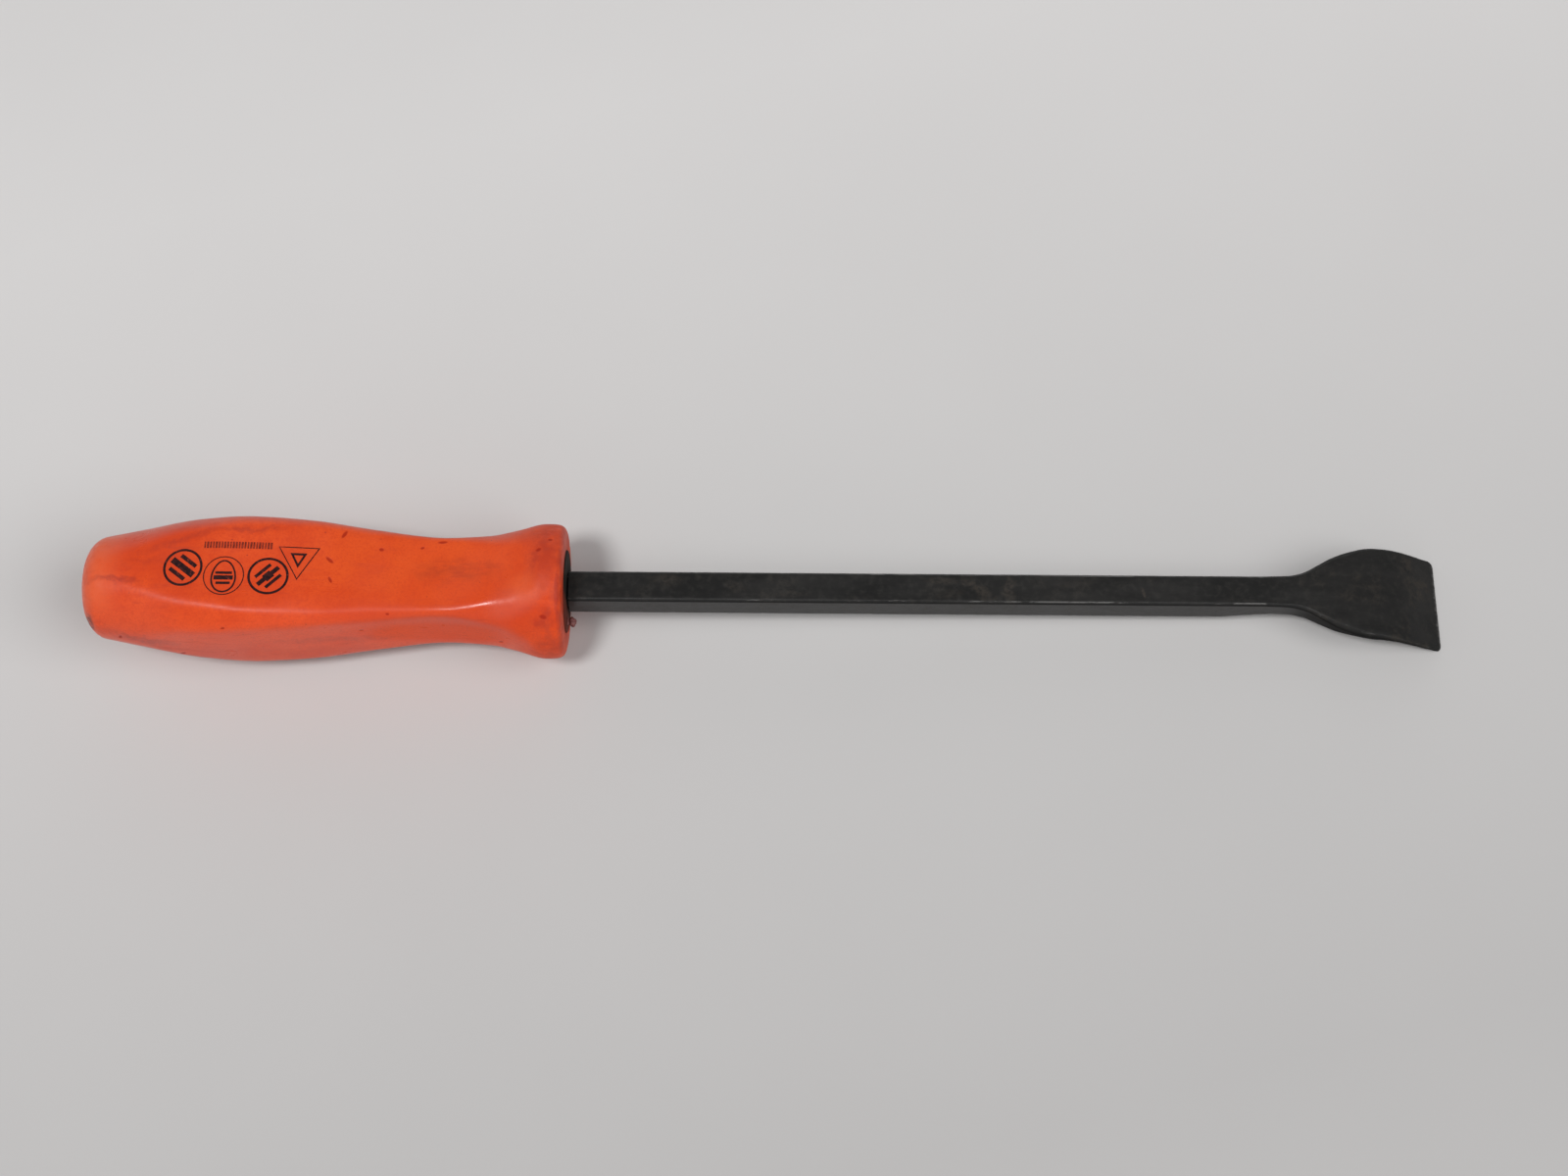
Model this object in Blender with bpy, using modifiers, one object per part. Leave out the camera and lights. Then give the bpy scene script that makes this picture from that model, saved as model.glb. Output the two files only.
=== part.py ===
"""Pry bar with a fan-shaped scraping tip and a moulded screwdriver-style grip.

Three physical pieces:
  handle         moulded orange plastic grip, blind bore from the front
  front_washer   black steel washer let into the grip's front face
  blade          one forging: tang with swaged wings, square shank, fan tip

Frame: the origin is the centre of the grip's flat butt face, +X runs along
the tool towards the tip (the front), +Z is normal to the shank's top flat.
"""
import bpy
import bmesh
from math import cos, sin, pi, sqrt, radians
from mathutils import Matrix, Vector

MM = 0.001
GAP = 0.3 * MM                    # clearance between neighbouring pieces
CUT_OVERRUN = 5 * MM              # how far cutters run past an open face
DISC_SEGMENTS = 48                # washer and its seat
SHARP_ANGLE = radians(30)         # edges sharper than this are not smoothed

# ---- grip dimensions -------------------------------------------------------
HANDLE_LEN = 116.7 * MM
BUTT_FLAT_R = 6.4 * MM            # flat spot on the butt
BUTT_ROUND = 4.6 * MM             # axial depth of the butt's corner rounding
LIP_X = 112.0 * MM                # crown of the front lip
LIP_R = 16.5 * MM
LIP_LEN = HANDLE_LEN - LIP_X
FRONT_FLAT_R = 12.4 * MM          # outer radius of the flat front annulus
LIP_POWER = 4                     # superellipse exponent of the lip rounding
# Turned profile in mm: station along the axis, radius over the ridges.
RIDGE_STATIONS = [
    (0.0, 11.7), (5.5, 12.75), (14.0, 14.45), (27.6, 17.25),
    (40.6, 18.4), (55.4, 17.6), (71.3, 15.25), (88.0, 13.6),
    (98.0, 13.75), (105.0, 14.95), (LIP_X / MM, LIP_R / MM), (HANDLE_LEN / MM, LIP_R / MM)]
# In mm: station, distance from the axis to the top and bottom flats.
FLAT_STATIONS = [
    (0.0, 13.25), (17.8, 13.8), (34.6, 14.6), (49.4, 13.95),
    (68.2, 11.9), (87.5, 10.0), (97.9, 11.15), (107.0, 14.0),
    (110.5, 16.2), (HANDLE_LEN / MM, 20.5)]
SIDE_FLAT_RATIO = 1.045           # the side flats are a little shallower
RIDGE_SHARPNESS = 40              # higher gives a tighter ridge radius
HANDLE_SEGMENTS = 48
BUTT_RING_ANGLES = (0, 18, 36, 54, 72, 90)          # degrees round the corner
BODY_RINGS = 26
LIP_RING_FRACTIONS = (0.4, 0.68, 0.86, 0.96, 1.0)   # of the lip's length

# ---- washer dimensions -----------------------------------------------------
WASHER_R = 10.1 * MM
WASHER_T = 2.0 * MM
WASHER_PROUD = 0.3 * MM           # stands this far out of the grip
WASHER_CHAMFER = 0.25 * MM
WASHER_FRONT = HANDLE_LEN + WASHER_PROUD
WASHER_BACK = WASHER_FRONT - WASHER_T

# ---- blade dimensions ------------------------------------------------------
SHANK_SIDE = 7.94 * MM            # 5/16 in square bar
SHANK_CHAMFER = 0.25 * MM
SHOULDER_X = WASHER_FRONT + GAP   # tang steps up to the full shank here
TANG_SIDE = 6.0 * MM
TANG_CHAMFER = 0.5 * MM
TANG_END_X = 36.0 * MM            # tang's inner end
TANG_END_INSET = 0.7 * MM         # taper at the inner end, per side
TANG_END_TAPER_LEN = 1.2 * MM
TANG_END_CHAMFER = 0.4 * MM
WING_START_X = 57.0 * MM          # swaged wings that stop the tang turning
WING_END_X = 71.0 * MM
WING_SPAN = 10.4 * MM
WING_T = 3.2 * MM
WING_RAMP = 4.0 * MM
WING_RAMP_STEPS = 4
TANG_HOLE_HALF = TANG_SIDE / 2 + GAP
TIP_X = 331.1 * MM                # about 13 in overall
TIP_CORNER_R = 1.4 * MM
TIP_CORNER_X = TIP_X - TIP_CORNER_R
TIP_RING_ANGLES = (30, 55, 75, 90)                  # degrees round the corner
# Fan outline in plan, in mm: station, full width.
WIDTH_STATIONS = [
    (286.5, SHANK_SIDE / MM), (293.0, 8.45), (296.7, 10.25), (300.2, 14.1),
    (304.5, 19.0), (308.7, 22.15), (313.0, 23.9), (318.4, 24.35),
    (322.6, 24.4), (TIP_X / MM, 24.0)]
# Fan top surface, in mm: station, height. Flush with the shank, then bent down.
TOP_STATIONS = [
    (306.5, SHANK_SIDE / 2 / MM), (311.0, 3.75), (314.9, 3.3), (317.9, 2.42),
    (321.1, 0.94), (324.4, -1.06), (327.8, -3.3), (TIP_X / MM, -5.4)]
# In mm: station, thickness of the forging, from square bar to thin edge.
THICK_STATIONS = [
    (276.9, SHANK_SIDE / MM), (283.8, 6.6), (290.7, 5.75), (297.6, 5.6),
    (303.1, 4.7), (308.7, 3.25), (314.9, 2.15), (321.4, 1.55),
    (327.8, 1.0), (TIP_X / MM, 0.5)]
# Section spacing beyond the plain bar: end of each run, steps in it.
FAN_RUNS = [(293 * MM, 8), (315 * MM, 18), (TIP_CORNER_X, 12)]


# ---- curves and sections ---------------------------------------------------
def spaced(start, end, steps):
    """Evenly spaced values from start to end, both included."""
    return [start + (end - start) * i / steps for i in range(steps + 1)]


def smooth_curve(stations, x):
    """Cubic through stations given in mm, without overshoot at inner ones; x in metres."""
    xs = [station * MM for station, _ in stations]
    ys = [value * MM for _, value in stations]
    if x <= xs[0]:
        return ys[0]
    if x >= xs[-1]:
        return ys[-1]
    steps = [b - a for a, b in zip(xs, xs[1:])]
    slopes = [(b - a) / step for a, b, step in zip(ys, ys[1:], steps)]

    # Tangents: weighted harmonic mean of the two slopes, level at a turn.
    tangents = [slopes[0]] + [0.0] * (len(xs) - 2) + [slopes[-1]]
    for i in range(1, len(slopes)):
        if slopes[i - 1] * slopes[i] > 0:
            weight_before = 2 * steps[i] + steps[i - 1]
            weight_after = steps[i] + 2 * steps[i - 1]
            tangents[i] = (weight_before + weight_after) / (
                weight_before / slopes[i - 1] + weight_after / slopes[i])

    i = max(k for k in range(len(steps)) if xs[k] <= x)
    t = (x - xs[i]) / steps[i]
    return (ys[i] * (2 * t**3 - 3 * t**2 + 1)
            + steps[i] * tangents[i] * (t**3 - 2 * t**2 + t)
            + ys[i + 1] * (3 * t**2 - 2 * t**3)
            + steps[i] * tangents[i + 1] * (t**3 - t**2))


def grip_radius(x):
    """Radius of the turned grip over its ridges at station x."""
    radius = smooth_curve(RIDGE_STATIONS, x)
    if x < BUTT_ROUND:
        u = 1.0 - x / BUTT_ROUND
        radius = BUTT_FLAT_R + (radius - BUTT_FLAT_R) * sqrt(max(0.0, 1.0 - u * u))
    if x > LIP_X:
        u = (x - LIP_X) / LIP_LEN
        fullness = max(0.0, 1.0 - u**LIP_POWER)**(1 / LIP_POWER)
        radius = FRONT_FLAT_R + (LIP_R - FRONT_FLAT_R) * fullness
    return radius


def grip_section(x):
    """Rounded-square section: a circle cut by four flats, ridges softened."""
    ridge = grip_radius(x)
    top = smooth_curve(FLAT_STATIONS, x)
    side = top * SIDE_FLAT_RATIO
    power = RIDGE_SHARPNESS
    points = []
    for i in range(HANDLE_SEGMENTS):
        angle = 2 * pi * i / HANDLE_SEGMENTS      # from +Z towards +Y
        cut_top = (abs(cos(angle)) * ridge / top)**power
        cut_side = (abs(sin(angle)) * ridge / side)**power
        radius = ridge * (1.0 + cut_top + cut_side)**(-1.0 / power)
        points.append(Vector((x, radius * sin(angle), radius * cos(angle))))
    return points


def bar_section(x, width, thick, chamfer, top=None):
    """Chamfered rectangle as eight points, centred on the axis unless top is given."""
    if top is None:
        top = thick / 2
    bottom = top - thick
    c = min(chamfer, 0.25 * thick, 0.25 * width)
    half = width / 2
    outline = [(half, top - c), (half - c, top), (-half + c, top), (-half, top - c),
               (-half, bottom + c), (-half + c, bottom), (half - c, bottom),
               (half, bottom + c)]
    return [Vector((x, y, z)) for y, z in outline]


def tang_section(x):
    """Square tang that flattens and spreads into two side wings."""
    ramp_in = (x - WING_START_X) / WING_RAMP
    ramp_out = (WING_END_X - x) / WING_RAMP
    swage = max(0.0, min(1.0, ramp_in, ramp_out))
    # The bar is first flattened, then spread, so the wings pass a plain slot.
    width = TANG_SIDE + (WING_SPAN - TANG_SIDE) * max(0.0, 2 * swage - 1)
    thick = TANG_SIDE + (WING_T - TANG_SIDE) * min(1.0, 2 * swage)
    return bar_section(x, width, thick, TANG_CHAMFER)


def fan_section(x):
    """End of the square bar, then the thinned, spread, bent tip."""
    width = smooth_curve(WIDTH_STATIONS, x)
    if x > TIP_CORNER_X:
        u = (x - TIP_CORNER_X) / TIP_CORNER_R
        width -= 2 * TIP_CORNER_R * (1 - sqrt(max(0.0, 1 - u * u)))
    return bar_section(x, width, smooth_curve(THICK_STATIONS, x), SHANK_CHAMFER,
                       top=smooth_curve(TOP_STATIONS, x))


# ---- mesh helpers ----------------------------------------------------------
def finish_mesh(name, bm, collection):
    mesh = bpy.data.meshes.new(name)
    bm.to_mesh(mesh)
    bm.free()
    obj = bpy.data.objects.new(name, mesh)
    collection.objects.link(obj)
    return obj


def loft(name, sections, collection):
    """Closed body skinned over sections that all have the same point count."""
    bm = bmesh.new()
    rings = [[bm.verts.new(point) for point in section] for section in sections]
    count = len(rings[0])
    for ring, following in zip(rings, rings[1:]):
        for i in range(count):
            j = (i + 1) % count
            bm.faces.new((ring[i], ring[j], following[j], following[i]))
    bm.faces.new(rings[0])
    bm.faces.new(list(reversed(rings[-1])))
    bmesh.ops.recalc_face_normals(bm, faces=bm.faces)
    return finish_mesh(name, bm, collection)


def axial_box(name, x0, x1, half_y, half_z, collection):
    """Box centred on the axis between two stations."""
    bm = bmesh.new()
    place = Matrix.Translation(((x0 + x1) / 2, 0, 0))
    scale = Matrix.Diagonal((x1 - x0, 2 * half_y, 2 * half_z, 1.0))
    bmesh.ops.create_cube(bm, size=1.0, matrix=place @ scale)
    return finish_mesh(name, bm, collection)


def disc(name, x0, x1, radius, collection):
    """Cylinder along X between two stations."""
    bm = bmesh.new()
    place = Matrix.Translation(((x0 + x1) / 2, 0, 0)) @ Matrix.Rotation(radians(90), 4, 'Y')
    bmesh.ops.create_cone(bm, cap_ends=True, segments=DISC_SEGMENTS, radius1=radius,
                          radius2=radius, depth=x1 - x0, matrix=place)
    return finish_mesh(name, bm, collection)


def cut(target, cutter):
    mod = target.modifiers.new("cut_" + cutter.name, 'BOOLEAN')
    mod.operation = 'DIFFERENCE'
    mod.solver = 'EXACT'
    mod.object = cutter
    cutter.hide_render = True
    cutter.display_type = 'WIRE'


def material(name, colour, roughness, metallic):
    mat = bpy.data.materials.new(name)
    mat.use_nodes = True
    bsdf = mat.node_tree.nodes["Principled BSDF"]
    bsdf.inputs["Base Color"].default_value = (*colour, 1.0)
    bsdf.inputs["Roughness"].default_value = roughness
    bsdf.inputs["Metallic"].default_value = metallic
    mat.diffuse_color = (*colour, 1.0)
    return mat


# ---- pieces ----------------------------------------------------------------
def make_handle(parts, cutters):
    """Grip with a washer seat, a square tang bore and a slot for the wings."""
    butt = [BUTT_ROUND * (1 - cos(radians(angle))) for angle in BUTT_RING_ANGLES]
    body = spaced(BUTT_ROUND, LIP_X, BODY_RINGS)[1:]
    lip = [LIP_X + LIP_LEN * fraction for fraction in LIP_RING_FRACTIONS]
    handle = loft("handle", [grip_section(x) for x in butt + body + lip], parts)

    open_end = HANDLE_LEN + CUT_OVERRUN
    cut(handle, disc("seat_cutter", WASHER_BACK - GAP, open_end, WASHER_R + GAP, cutters))
    cut(handle, axial_box("bore_cutter", TANG_END_X - GAP, open_end,
                          TANG_HOLE_HALF, TANG_HOLE_HALF, cutters))
    cut(handle, axial_box("wing_slot_cutter", WING_START_X - GAP, open_end,
                          WING_SPAN / 2 + GAP, WING_T / 2 + GAP, cutters))
    handle.data.materials.append(
        material("orange_plastic", colour=(0.80, 0.13, 0.03), roughness=0.35, metallic=0.0))
    return handle


def make_washer(parts, cutters):
    """Round washer with chamfered rims and a square hole for the tang."""
    washer = disc("front_washer", WASHER_BACK, WASHER_FRONT, WASHER_R, parts)
    bevel = washer.modifiers.new("rim_chamfer", 'BEVEL')
    bevel.width = WASHER_CHAMFER
    bevel.segments = 1
    bevel.limit_method = 'ANGLE'
    bevel.angle_limit = radians(40)
    cut(washer, axial_box("washer_hole_cutter", WASHER_BACK - CUT_OVERRUN,
                          WASHER_FRONT + CUT_OVERRUN, TANG_HOLE_HALF, TANG_HOLE_HALF, cutters))
    washer.data.materials.append(
        material("washer_black", colour=(0.025, 0.02, 0.018), roughness=0.6, metallic=0.9))
    return washer


def make_blade(parts):
    """Tang, shoulder, shank and fan in one loft."""
    tang_x = ([TANG_END_X + TANG_END_TAPER_LEN]
              + spaced(WING_START_X, WING_START_X + WING_RAMP, WING_RAMP_STEPS)
              + spaced(WING_END_X - WING_RAMP, WING_END_X, WING_RAMP_STEPS)
              + [SHOULDER_X])
    fan_x = [THICK_STATIONS[0][0] * MM]
    for run_end, steps in FAN_RUNS:
        fan_x += spaced(fan_x[-1], run_end, steps)[1:]
    fan_x += [TIP_CORNER_X + TIP_CORNER_R * sin(radians(angle)) for angle in TIP_RING_ANGLES]

    end_side = TANG_SIDE - 2 * TANG_END_INSET
    sections = [bar_section(TANG_END_X, end_side, end_side, TANG_END_CHAMFER)]
    sections += [tang_section(x) for x in tang_x]
    sections.append(bar_section(SHOULDER_X, SHANK_SIDE, SHANK_SIDE, SHANK_CHAMFER))
    sections += [fan_section(x) for x in fan_x]
    blade = loft("blade", sections, parts)
    blade.data.materials.append(
        material("black_oxide_steel", colour=(0.035, 0.033, 0.031), roughness=0.5, metallic=0.9))
    return blade


# ---- build -----------------------------------------------------------------
for old in list(bpy.data.objects):
    bpy.data.objects.remove(old, do_unlink=True)

part_collection = bpy.data.collections.new("pry_bar")
cutter_collection = bpy.data.collections.new("cutters")
for collection in (part_collection, cutter_collection):
    bpy.context.scene.collection.children.link(collection)

pieces = (make_handle(part_collection, cutter_collection),
          make_washer(part_collection, cutter_collection),
          make_blade(part_collection))
for piece in pieces:
    piece.data.shade_smooth()
    piece.data.set_sharp_from_angle(angle=SHARP_ANGLE)
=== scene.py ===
"""Pry bar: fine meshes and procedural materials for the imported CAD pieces.

The tool lies along X, from the grip's butt at x = 0 to the blade's tip at the +X end. Z is up,
and the printed marks are on the grip's top. Lengths are in mm unless said otherwise.
"""

import math

import bpy
import bmesh
import numpy as np
from mathutils import Matrix, Vector, noise


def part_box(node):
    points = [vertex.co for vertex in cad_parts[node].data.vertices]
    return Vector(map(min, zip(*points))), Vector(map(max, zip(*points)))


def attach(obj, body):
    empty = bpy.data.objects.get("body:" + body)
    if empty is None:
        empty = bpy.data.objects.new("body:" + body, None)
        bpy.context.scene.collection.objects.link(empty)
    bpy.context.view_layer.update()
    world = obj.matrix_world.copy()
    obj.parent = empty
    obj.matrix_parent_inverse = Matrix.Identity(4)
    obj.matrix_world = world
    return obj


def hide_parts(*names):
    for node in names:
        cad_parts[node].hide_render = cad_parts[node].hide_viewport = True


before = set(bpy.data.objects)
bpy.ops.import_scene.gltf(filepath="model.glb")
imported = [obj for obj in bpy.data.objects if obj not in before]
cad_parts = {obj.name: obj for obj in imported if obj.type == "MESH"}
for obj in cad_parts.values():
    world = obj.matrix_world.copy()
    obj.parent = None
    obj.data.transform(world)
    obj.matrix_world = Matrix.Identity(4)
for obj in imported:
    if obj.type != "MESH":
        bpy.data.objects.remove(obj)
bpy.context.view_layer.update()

MM = 0.001  # metres


def cad_box(node):
    """Low and high corner of a CAD piece."""
    return [np.array(corner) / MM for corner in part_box(node)]


# ---- sizes read from the CAD --------------------------------------------------
_, handle_hi = cad_box("handle")
washer_lo, washer_hi = cad_box("front_washer")
blade_lo, blade_hi = cad_box("blade")
HANDLE_LEN = float(handle_hi[0])
LIP_R = float(handle_hi[1])
WASHER_FRONT, WASHER_BACK = float(washer_hi[0]), float(washer_lo[0])
WASHER_R = float(washer_hi[1])
TIP_X = float(blade_hi[0])
TANG_END = float(blade_lo[0])
GAP = 0.3  # clearance between pieces

# ---- grip ---------------------------------------------------------------------
BUTT_FLAT_R, BUTT_ROUND = 6.4, 4.6
LIP_X, FRONT_FLAT_R = 112.0, 12.4
# x, radius of the round that limits the section's corners
RIDGE = [
    (0.0, 11.7), (5.5, 12.75), (14.0, 14.45), (27.6, 17.25), (40.6, 18.4), (55.4, 17.6),
    (71.3, 15.25), (88.0, 13.6), (98.0, 13.75), (105.0, 14.95), (LIP_X, LIP_R),
    (HANDLE_LEN, LIP_R)]
# x, height of the top flat above the axis
FLAT = [
    (0.0, 13.25), (17.8, 13.8), (34.6, 14.6), (49.4, 13.95), (68.2, 11.9), (87.5, 10.0),
    (97.9, 11.15), (107.0, 14.0), (110.5, 16.2), (HANDLE_LEN, 20.5)]
SIDE_RATIO = 1.045  # side flats over top flat
SHARP = 40  # power of the blend between round and flats
# nicks: x, girth from the top line, half-length, half-width, angle in degrees
NICKS = [
    (63.6, 9.3, 1.1, 0.42, 62), (60.6, 2.3, 1.15, 0.42, -40), (61.1, -2.9, 0.85, 0.36, -62),
    (72.6, 5.8, 0.55, 0.45, 10), (82.3, 6.8, 0.5, 0.3, 20), (87.1, 8.5, 1.1, 0.34, 5),
    (111.0, 4.1, 0.65, 0.45, 30), (113.6, 7.4, 0.5, 0.4, 0), (112.4, -13.0, 0.85, 0.55, -20),
    (75.0, -10.9, 0.4, 0.28, 0), (36.0, -16.5, 0.5, 0.3, 15), (68.0, -18.5, 0.5, 0.3, 10),
    (29.0, 22.0, 0.9, 0.35, -30), (58.0, 27.5, 0.7, 0.35, 15), (77.5, 33.0, 0.8, 0.3, 50),
    (101.0, -24.0, 0.6, 0.35, 25), (23.0, -31.0, 0.9, 0.4, 35), (46.0, -38.0, 0.8, 0.35, -15),
    (85.0, 22.0, 0.6, 0.3, -45), (9.2, -20.0, 0.8, 0.4, 70)]

# ---- blade --------------------------------------------------------------------
SHANK, TANG = 7.94, 6.0  # square sections
SHANK_X = WASHER_FRONT + GAP
WING_X, WING_SPAN, WING_T, WING_RAMP = (57.0, 71.0), 10.4, 3.2, 4.0
TIP_CORNER = 1.4
# x, width
WIDTH = [
    (286.5, SHANK), (293.0, 8.45), (296.7, 10.25), (300.2, 14.1), (304.5, 19.0),
    (308.7, 22.15), (313.0, 23.9), (318.4, 24.35), (322.6, 24.4), (TIP_X, 24.0)]
# x, height of the top face
TOP = [
    (306.5, SHANK / 2), (311.0, 3.75), (314.9, 3.3), (317.9, 2.42), (321.1, 0.94),
    (324.4, -1.06), (327.8, -3.3), (TIP_X, -5.4)]
# x, thickness
THICK = [
    (276.9, SHANK), (283.8, 6.6), (290.7, 5.75), (297.6, 5.6), (303.1, 4.7), (308.7, 3.25),
    (314.9, 2.15), (321.4, 1.55), (327.8, 1.0), (TIP_X, 0.5)]


# ---- curves and noise -----------------------------------------------------------
def curve(stations, x):
    """Cubic through the stations at the array x, without overshoot."""
    x = np.atleast_1d(np.asarray(x, float))
    knots = np.array([station[0] for station in stations])
    values = np.array([station[1] for station in stations])
    gap = np.diff(knots)
    slope = np.diff(values) / gap
    tangent = np.zeros(len(knots))
    tangent[0], tangent[-1] = slope[0], slope[-1]
    for i in range(1, len(knots) - 1):
        if slope[i - 1] * slope[i] > 0:
            before, after = 2 * gap[i] + gap[i - 1], gap[i] + 2 * gap[i - 1]
            tangent[i] = (before + after) / (before / slope[i - 1] + after / slope[i])
    i = np.clip(np.searchsorted(knots, x, side="right") - 1, 0, len(knots) - 2)
    t = np.clip((x - knots[i]) / gap[i], 0, 1)
    return (values[i] * (2 * t**3 - 3 * t**2 + 1) + gap[i] * tangent[i] * (t**3 - 2 * t**2 + t)
            + values[i + 1] * (3 * t**2 - 2 * t**3) + gap[i] * tangent[i + 1] * (t**3 - t**2))


def grip_radius(x):
    """Ridge radius, rounded over at the butt and at the front lip."""
    x = np.atleast_1d(np.asarray(x, float))
    radius = curve(RIDGE, x)
    part = np.clip(1 - x / BUTT_ROUND, 0, 1)
    rounded = (BUTT_FLAT_R
               + (radius - BUTT_FLAT_R) * np.sqrt(np.clip(1 - part * part, 0, 1)))
    radius = np.where(x < BUTT_ROUND, rounded, radius)
    part = np.clip((x - LIP_X) / (HANDLE_LEN - LIP_X), 0, 1)
    rounded = FRONT_FLAT_R + (LIP_R - FRONT_FLAT_R) * np.clip(1 - part**4, 0, 1) ** 0.25
    return np.where(x > LIP_X, rounded, radius)


def grip_polar(x, angle):
    """Radius of the grip's skin at station x and an angle from the top, towards +Y."""
    ridge, top = grip_radius(x), curve(FLAT, x)
    cos, sin = np.abs(np.cos(angle)), np.abs(np.sin(angle))
    flats = (cos * ridge / top) ** SHARP + (sin * ridge / (top * SIDE_RATIO)) ** SHARP
    return ridge * (1 + flats) ** (-1 / SHARP)


def field(points, scale, octaves, offset=(0, 0, 0)):
    """Smooth noise, about -1 to 1, with features about 1/scale mm across."""
    offset = Vector(offset)
    return np.array([noise.fractal(Vector(point) * scale + offset, 1.0, 2.0, octaves)
                     for point in points])


def positive_field(*args, **kwargs):
    """The same noise, moved to the range 0 to 1."""
    return 0.5 + 0.5 * np.clip(field(*args, **kwargs), -1, 1)


def bumps_field(points, scale, octaves, offset, above):
    """Scattered spots of noise, where it rises over a threshold."""
    return np.clip(field(points, scale, octaves, offset) - above, 0, 1)


# ---- mesh helpers ---------------------------------------------------------------
def link_object(name, mesh):
    obj = bpy.data.objects.new(name, mesh)
    bpy.context.scene.collection.objects.link(obj)
    return obj


def solid(name, verts, faces, smooth):
    mesh = bpy.data.meshes.new(name)
    mesh.from_pydata((np.array(verts) * MM).tolist(), [], faces)
    bm = bmesh.new()
    bm.from_mesh(mesh)
    bmesh.ops.recalc_face_normals(bm, faces=bm.faces)
    bm.to_mesh(mesh)
    bm.free()
    if smooth:
        mesh.shade_smooth()
    return link_object(name, mesh)


def skin(name, rings, closed=False, cap_start=None, cap_end=None):
    """Body over rings of equal point count. A cap is a pole point, or "flat" for one face."""
    size, count = len(rings[0]), len(rings)
    verts = np.concatenate(rings)
    faces = []
    for k in range(count if closed else count - 1):
        this, following = k * size, ((k + 1) % count) * size
        for i in range(size):
            j = (i + 1) % size
            faces.append((this + i, this + j, following + j, following + i))
    last = (count - 1) * size
    for cap, first, forward in ((cap_start, 0, False), (cap_end, last, True)):
        if cap is None:
            continue
        ring = range(first, first + size)
        if cap == "flat":
            faces.append(tuple(reversed(ring)) if forward else tuple(ring))
            continue
        pole = len(verts)
        verts = np.concatenate([verts, [cap]])
        for i in range(size):
            pair = (ring[i], ring[(i + 1) % size])
            faces.append((pole, *(pair if forward else pair[::-1])))
    return solid(name, verts, faces, smooth=True)


def split_rings(points, size):
    return [points[start:start + size] for start in range(0, len(points), size)]


def circle_angles(count):
    return np.arange(count) * 2 * np.pi / count


def polar_ring(x, radius, angles):
    """Ring round the X axis; angles run from the top towards +Y."""
    return np.stack([np.full(len(angles), x), radius * np.sin(angles),
                     radius * np.cos(angles)], 1)


def box_radius(angles, half_y, half_z):
    """Radius of a rectangle centred on the axis."""
    cos, sin = np.maximum(np.abs(np.cos(angles)), 1e-9), np.maximum(np.abs(np.sin(angles)), 1e-9)
    return np.minimum(half_z / cos, half_y / sin)


def tang_hole(angles):
    return box_radius(angles, half_y=TANG / 2 + GAP, half_z=TANG / 2 + GAP)


def point_attribute(obj, name, values):
    attribute = obj.data.attributes.new(name, "FLOAT", "POINT")
    attribute.data.foreach_set("value", np.asarray(values, np.float32))


def finish_piece(obj, material, node=None, sharp=None):
    if sharp is not None:
        obj.data.set_sharp_from_angle(angle=math.radians(sharp))
    obj.data.materials.append(material)
    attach(obj, "root")
    if node:
        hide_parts(node)
    return obj


# ---- shader helpers ---------------------------------------------------------------
class Value:
    """A node's output. Arithmetic on it adds Math nodes."""

    def __init__(self, shader, socket):
        self.shader = shader
        self.socket = socket

    def __add__(self, other):
        return self.shader.math("ADD", self, other)

    def __radd__(self, other):
        return self.shader.math("ADD", other, self)

    def __sub__(self, other):
        return self.shader.math("SUBTRACT", self, other)

    def __mul__(self, other):
        return self.shader.math("MULTIPLY", self, other)

    def ramp(self, over, to=(0.0, 1.0)):
        """Smooth change between the two `to` values as this goes over[0] to over[1]."""
        return self.shader.node("ShaderNodeMapRange", dict(enumerate((self, *over, *to))),
                                interpolation_type="SMOOTHSTEP")


def most(first, *others):
    for other in others:
        first = first.shader.math("MAXIMUM", first, other)
    return first


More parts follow.
